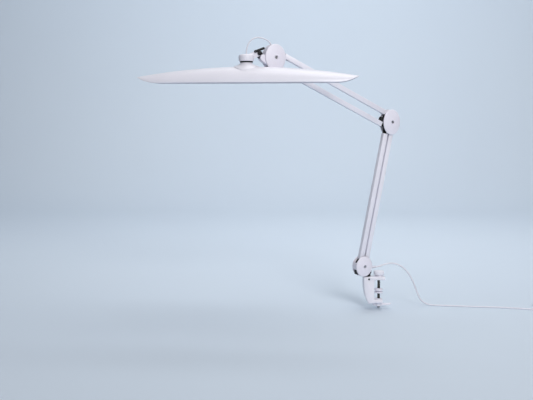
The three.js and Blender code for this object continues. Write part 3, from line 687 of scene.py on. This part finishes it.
def build_cover(name, side):
    """An oval cap: straight skirt, rounded shoulder, domed face and a raised ring round the screw recess."""
    centre, radius_x, radius_z = JOINT_COVERS[name]
    back, face = COVER_BACK, COVER_BACK + COVER_DEPTH
    recess, boss = COVER_RECESS_RADIUS, COVER_BOSS_RADIUS
    shoulder, shoulder_rise = COVER_SHOULDER
    steps = 8
    profile = [(0.0, back), (0.0, back + COVER_SKIRT)]
    for k in range(1, steps + 1):
        turn = k / 10 * math.pi / 2
        rise = shoulder_rise * math.sin(turn)
        profile.append((shoulder * (1 - math.cos(turn)), back + COVER_SKIRT + rise))
    rings = [oval_ring(radius_x - inset, radius_z - inset, y) for inset, y in profile]
    last_inset, last_y = profile[-1]
    start_x, start_z = radius_x - last_inset, radius_z - last_inset
    for k in range(1, steps + 1):
        u = k / steps
        y = last_y + (face - last_y) * math.sin(u * math.pi / 2)
        rings.append(oval_ring(start_x + (boss - start_x) * u, start_z + (boss - start_z) * u, y))
    raised_ring = ((7.5, face + 0.4), (7.0, face + 0.6), (5.8, face + 0.6), (5.1, face + 0.3))
    screw_hole = ((recess, face - 0.5), (recess, back + 3.1), (0.5, back + 3.0))
    rings += [oval_ring(radius, radius, y) for radius, y in raised_ring + screw_hole]
    rings = [[(centre[0] + side * x, side * y, centre[2] + z) for x, y, z in ring] for ring in rings]
    label = "back" if side > 0 else "front"
    cover = ring_object(f"{name}_cap_{label}", rings, ARM_PLACE, sharp_angle=35)
    return dress(cover, "white_plastic", name, stands_for=(f"{name}_cover_{label}",))


def build_side_wall(name):
    """The white wall that closes a joint between its covers where no bar has to pass."""
    centre, radius_x, radius_z = JOINT_COVERS[name]
    start, end = SIDE_WALL_ARCS[name]
    outer, inner = SIDE_WALL_INSET, SIDE_WALL_INSET + SIDE_WALL
    corners = ((outer, -COVER_BACK), (outer, COVER_BACK), (inner, COVER_BACK), (inner, -COVER_BACK))
    steps = 30
    rings = []
    for k in range(steps + 1):
        a = math.radians(start + (end - start) * k / steps)
        ring = []
        for inset, y in corners:
            x = centre[0] + (radius_x - inset) * math.cos(a)
            z = centre[2] + (radius_z - inset) * math.sin(a)
            ring.append((x, y, z))
        rings.append(ring)
    wall = ring_object(f"{name}_side_wall", rings, ARM_PLACE, sharp_angle=35)
    return dress(wall, "white_plastic", name)


def build_arm_root():
    """The white casing round the root of the head's arm, short of the neck's cheeks."""
    root = (HEAD[0] - 18, HEAD[2] - 13)
    tip = (HEAD[0] - 35, HEAD[2] - 2)
    outline = slot_outline(root, tip, ARM_ROOT_RADIUS, 16)
    depth = (-ARM_ROOT_HALF_DEPTH, ARM_ROOT_HALF_DEPTH)
    casing = ring_object("head_arm_casing", slab_rings(outline, depth, 1.6), ARM_PLACE)
    return dress(casing, "white_plastic", "head")


build_arm_root()
for joint in SIDE_WALL_ARCS:
    build_side_wall(joint)
for joint in JOINT_COVERS:
    for side in (-1, 1):
        build_cover(joint, side)


# ---------------------------------------------------------------- shade
def half_width(s, widest):
    return widest * max(1 - s * s, 0) ** SHADE_FULLNESS


def crown_height(s):
    return CROWN_TIP + CROWN_RISE * (1 - s * s)


def rim_height(s):
    lift = max((abs(s) - RIM_LIFT_START) / (1 - RIM_LIFT_START), 0)
    return CROWN_TIP * lift * lift


def shade_height(x, y, inset):
    s = min(abs(x) / (SHADE_HALF_LENGTH - inset), 1)
    width = half_width(s, SHADE_HALF_WIDTH - inset)
    v = min(abs(y) / width, 1) if width > 1e-6 else 0
    return rim_height(s) + (crown_height(s) - inset - rim_height(s)) * math.sqrt(1 - v * v) ** 1.1


def shade_ring(t, inset, sides):
    ring = []
    for angle in turns(sides):
        s = math.cos(angle)
        x = t * (SHADE_HALF_LENGTH - inset) * s
        y = t * math.copysign(half_width(s, SHADE_HALF_WIDTH - inset), math.sin(angle))
        ring.append((x, y, rim_height(s) if t > 0.9999 else shade_height(x, y, inset)))
    return ring


def build_shade():
    """A thin pressed shell with a rolled lip, open below, with a hole for the spindle."""
    sides, steps, hole = 160, 30, 0.021
    levels = [hole + (1 - hole) * math.sin(k / steps * math.pi / 2) for k in range(steps + 1)]
    outer = [shade_ring(t, 0, sides) for t in levels]
    inner = [shade_ring(t, SHADE_WALL, sides) for t in reversed(levels)]
    lip = [(x * 0.998, y * 0.985, z - 0.45) for x, y, z in shade_ring(1, 0, sides)]
    shell = ring_object("shade_shell_smooth", outer + [lip] + inner, SHADE_PLACE, loop=True, sharp_angle=60)
    return dress(shell, "white_paint", "shade", stands_for=("shade_shell",))


def build_neck_cone():
    """The flared foot that sits on the crown and carries the swivel."""
    sides, steps = 72, 14
    rings = []
    for radius, height in ((SPINDLE_RADIUS + GAP, CONE_TOP), (CONE_TOP_RADIUS - 1.6, CONE_TOP)):
        rings.append([(radius * math.cos(a), radius * math.sin(a), height) for a in turns(sides)])
    for k in range(steps + 1):
        u = k / steps
        radius = CONE_TOP_RADIUS + (CONE_BASE_RADIUS - CONE_TOP_RADIUS) * u * u
        ring = []
        for a in turns(sides):
            x, y = radius * math.cos(a), radius * math.sin(a)
            foot = shade_height(x, y, 0) + GAP + 1.2
            ring.append((x, y, foot + (CONE_TOP - 0.8 - foot) * (1 - u)))
        rings.append(ring)
    for k in range(steps, -1, -1):
        radius = SPINDLE_RADIUS + GAP + (CONE_BASE_RADIUS - SPINDLE_RADIUS - GAP) * (k / steps)
        ring = []
        for a in turns(sides):
            x, y = radius * math.cos(a), radius * math.sin(a)
            ring.append((x, y, shade_height(x, y, 0) + GAP))
        rings.append(ring)
    cone = ring_object("neck_foot", rings, SHADE_PLACE, loop=True, sharp_angle=50)
    return dress(cone, "white_paint", "shade", stands_for=("neck_cone",))


build_shade()
build_neck_cone()


# ---------------------------------------------------------------- neck
def build_swivel_cap():
    """Domed cap over the spindle with two cheeks that reach to the tilt bolt."""
    builder = bmesh.new()
    dome = [
        (0, CAP_BOTTOM), (CAP_RADIUS - 1, CAP_BOTTOM), (CAP_RADIUS, CAP_BOTTOM + 1),
        (CAP_RADIUS, CAP_BOTTOM + 3.2), (CAP_RADIUS - 0.5, CAP_BOTTOM + 3.6),
        (CAP_RADIUS - 0.5, CAP_BOTTOM + 4.2), (CAP_RADIUS, CAP_BOTTOM + 4.6), (CAP_RADIUS, CAP_TOP - 6),
        (CAP_RADIUS - 2, CAP_TOP - 2.5), (CAP_RADIUS - 6, CAP_TOP - 0.6), (0, CAP_TOP),
    ]
    rings = lathe_rings(rounded(dome, 1.6, 3), 72)
    add_rings(builder, moved(rings, NECK_X, NECK_Y, RIM_Z))
    spindle = [(0, 30), (SPINDLE_RADIUS, 30), (SPINDLE_RADIUS, CAP_BOTTOM + 2), (0, CAP_BOTTOM + 2)]
    add_rings(builder, moved(lathe_rings(spindle, 40), NECK_X, NECK_Y, RIM_Z))
    eye = (HEAD[0] + TILT[0], HEAD[2] + TILT[1])
    for depth in ((-11, -5.6), (5.6, 11)):
        outline = slot_outline(eye, (NECK_X + 8, RIM_Z + 68), 7.5, 16)
        add_rings(builder, slab_rings(outline, depth, 1.0))
    cap = finish_mesh("swivel_cap_smooth", builder, ARM_PLACE, 40)
    return dress(cap, "white_paint", "neck", stands_for=("swivel_cap",))


build_swivel_cap()


# ---------------------------------------------------------------- clamp screws, pads and knob
def threaded_rings(z, threads, sides=32):
    """A rod whose surface follows a real helical thread between two heights."""
    rings = []
    count = int((z[1] - z[0]) / THREAD_PITCH * 10)
    for k in range(count + 1):
        height = z[0] + (z[1] - z[0]) * k / count
        ends = min(1, max(0, (height - threads[0]) / 1.5), max(0, (threads[1] - height) / 1.5))
        ring = []
        for a in turns(sides):
            phase = (height / THREAD_PITCH - a / (2 * math.pi)) % 1
            ridge = 1 - abs(2 * phase - 1)
            depth = THREAD_DEPTH * (1 - min(ridge * 1.5, 1)) * ends
            radius = SCREW_RADIUS - 0.1 - depth
            ring.append((radius * math.cos(a), radius * math.sin(a), height))
        rings.append(ring)
    chamfer = [[(x * 0.7, y * 0.7, z) for x, y, z in rings[0]]]
    return chamfer + rings + [[(x * 0.7, y * 0.7, z) for x, y, z in rings[-1]]]


def build_clamp_hardware():
    """The two screws, their pads and the fluted nut that locks the upper one."""
    # The threaded rods take the steel whose dark base colour is a painted dark reflection.
    rod = ring_object("upper_screw_threaded", threaded_rings(UPPER_SCREW, (7, 58)), sharp_angle=60)
    dress(rod, "dark_steel", "clamp", stands_for=("upper_screw",))
    rod = ring_object("clamp_screw_threaded", threaded_rings(LOWER_SCREW, (-48.5, -6)), sharp_angle=60)
    dress(rod, "dark_steel", "screw", stands_for=("clamp_screw",))
    upper = [
        (0.5, 0), (PAD_RADIUS - 1, 0), (PAD_RADIUS, 1), (PAD_RADIUS, 4), (8, 8), (4.5, 8),
        (4.5, 4.2), (0.5, 4.2),
    ]
    pad = ring_object("upper_pad_smooth", lathe_rings(rounded(upper, 1.0), 64))
    dress(pad, "white_plastic", "clamp", stands_for=("upper_pad",))
    lower = [
        (0.5, -4.7), (4.5, -4.7), (4.5, -7.5), (8, -7.5), (PAD_RADIUS, -6), (PAD_RADIUS, -3.5),
        (PAD_RADIUS - 1, -2.5), (0.5, -2.5),
    ]
    pad = ring_object("lower_pad_smooth", lathe_rings(rounded(lower, 0.8), 64))
    dress(pad, "white_plastic", "pad", stands_for=("lower_pad",))
    bottom, top, outer = LOCKNUT_BOTTOM, LOCKNUT_TOP, LOCKNUT_RADIUS
    nut = [
        (4.6, bottom), (14, bottom), (outer, 49.5), (outer, 56.5), (14, 59.5), (6, top), (0.5, top),
    ]
    nut = rounded(nut, 1.4) + [Vector((0.5, 59.4)), Vector((4.6, 59.4))]
    rings = []
    for radius, height in nut:
        flute = FLUTE_DEPTH if 12 < radius else 0.0
        ring = []
        for a in turns(120):
            reach = radius - flute * (0.5 - 0.5 * math.cos(LOCKNUT_FLUTES * a))
            ring.append((reach * math.cos(a), reach * math.sin(a), height))
        rings.append(ring)
    piece = ring_object("locknut_fluted", rings, loop=True, sharp_angle=60)
    dress(piece, "white_paint", "clamp", stands_for=("upper_locknut",))


build_clamp_hardware()

# ---------------------------------------------------------------- carried-over CAD nodes
NODE_LOOKS = {
    "white_paint": ("clamp_body", "wing_handle", "lower_left_tube", "lower_right_tube", "upper_top_tube",
                    "upper_low_tube"),
    "white_plastic": ("light_frame", "reflector_tray"),
    "black_steel": ("post_lock_screw", "base_plate_front", "base_bracket", "elbow_plate_front",
                    "elbow_bracket", "head_plate_front", "head_bracket", "tilt_lock_screw"),
    # The friction washer in the swivel gap is black rubber: partly the washer's own colour, partly painted
    # shade standing in for the dark gap.
    "black_rubber": ("arm_stop", "friction_washer"),
    "bright_steel": ("base_cover_screw", "elbow_cover_screw", "head_cover_screw", "spindle_nut",
                     "lower_left_spring", "upper_top_spring"),
    "diffuser_plastic": ("diffuser",),
    "led_board": ("led_board",),
}
BEVELS = {"clamp_body": 1.2, "wing_handle": 0.8, "tilt_lock_screw": 0.5, "arm_stop": 0.8}
PLAIN_BEVEL = 0.3
NO_BEVEL = ("lower_left_spring", "upper_top_spring")
arm_bars = ("lower_left", "lower_right", "upper_top", "upper_low")
strap_ends = tuple(f"{bar}_end_{end}" for bar in arm_bars for end in ("near", "far"))
NODE_LOOKS["black_steel"] += strap_ends


def soften(node, width):
    """Smooths a CAD node's shading and rounds its outer edges, leaving its mesh as packed."""
    node.data.shade_smooth()
    weld = node.modifiers.new("weld", "WELD")
    weld.merge_threshold = 1e-5
    flat = node.modifiers.new("flat", "DECIMATE")
    flat.decimate_type = "DISSOLVE"
    flat.angle_limit = math.radians(1)
    edge = node.modifiers.new("edge", "BEVEL")
    edge.width = width * MM
    edge.segments = 2
    edge.limit_method = "ANGLE"
    edge.angle_limit = math.radians(32)
    edge.harden_normals = True
    edge.use_clamp_overlap = True


for look, names in NODE_LOOKS.items():
    for name in names:
        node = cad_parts[name]
        node.data.materials.clear()
        node.data.materials.append(MATERIALS[look])
        if name not in NO_BEVEL:
            soften(node, BEVELS.get(name, PLAIN_BEVEL))
        else:
            node.data.shade_smooth()


# ---------------------------------------------------------------- floor, backdrop and light
# Sizes here are in metres.
SWEEP_FRONT = -4.0
SWEEP_BEND_START = 2.4
SWEEP_BEND = 1.6
SWEEP_BACK = 4.0
SWEEP_HEIGHT = 5.0
SWEEP_HALF_WIDTH = 7
SWEEP_COLOURS = [(0.3, (0.66, 0.74, 0.83)), (0.7, (0.675, 0.755, 0.84))]
# Each light's name, place, target, size, power and colour.
LIGHTS = (
    ("key", (1.4, -5.2, 2.8), (-0.1, 0, 0.35), 2.4, 205, (1.0, 0.98, 0.97)),
    ("fill", (-1.6, -2.6, 1.3), (-0.2, 0, 0.5), 1.6, 2, (0.95, 0.97, 1.0)),
    ("top", (0.1, -0.2, 2.6), (0.0, 0, 0.2), 1.4, 17, (1.0, 1.0, 1.0)),
    ("backdrop_wash", (0.0, 1.2, 2.9), (0, 3.9, 0.3), 2.4, 56, (0.96, 0.98, 1.0)),
)
WORLD_COLOUR = (0.78, 0.84, 0.95, 1)
WORLD_STRENGTH = 0.17


def build_backdrop():
    """A pale sweep: the floor, a long curve and a wall behind."""
    look = Nodes("studio_sweep", roughness=0.8, specular=0.2)
    look.colour(look.ramp(look.noise(0.8, detail=2), SWEEP_COLOURS))
    rows = [(SWEEP_FRONT, 0.0), (SWEEP_BEND_START, 0.0)]
    steps = 16
    for k in range(1, steps + 1):
        turn = k / steps * math.pi / 2
        rows.append((SWEEP_BEND_START + SWEEP_BEND * math.sin(turn), SWEEP_BEND * (1 - math.cos(turn))))
    rows.append((SWEEP_BACK, SWEEP_HEIGHT))
    builder = bmesh.new()
    sides = (-SWEEP_HALF_WIDTH, SWEEP_HALF_WIDTH)
    edges = [[builder.verts.new((x, y, z + FLOOR * MM)) for x in sides] for y, z in rows]
    for lower, upper in zip(edges, edges[1:]):
        builder.faces.new((lower[0], lower[1], upper[1], upper[0]))
    mesh = bpy.data.meshes.new("studio_sweep")
    builder.to_mesh(mesh)
    builder.free()
    mesh.shade_smooth()
    mesh.materials.append(look.material)
    sweep = bpy.data.objects.new("studio_sweep", mesh)
    bpy.context.scene.collection.objects.link(sweep)


def area_light(name, place, target, size, power, colour):
    """A round soft light at a place, aimed at a target."""
    data = bpy.data.lights.new(name, "AREA")
    data.shape = "DISK"
    data.size = size
    data.energy = power
    data.color = colour
    lamp = bpy.data.objects.new(name, data)
    lamp.location = place
    aim = Vector(target) - Vector(place)
    lamp.rotation_euler = aim.to_track_quat("-Z", "Y").to_euler()
    bpy.context.scene.collection.objects.link(lamp)


build_backdrop()
for light in LIGHTS:
    area_light(*light)
world = bpy.data.worlds.new("studio_air")
world.use_nodes = True
air = world.node_tree.nodes["Background"]
air.inputs["Color"].default_value = WORLD_COLOUR
air.inputs["Strength"].default_value = WORLD_STRENGTH
bpy.context.scene.world = world
bpy.context.scene.view_settings.view_transform = "Standard"
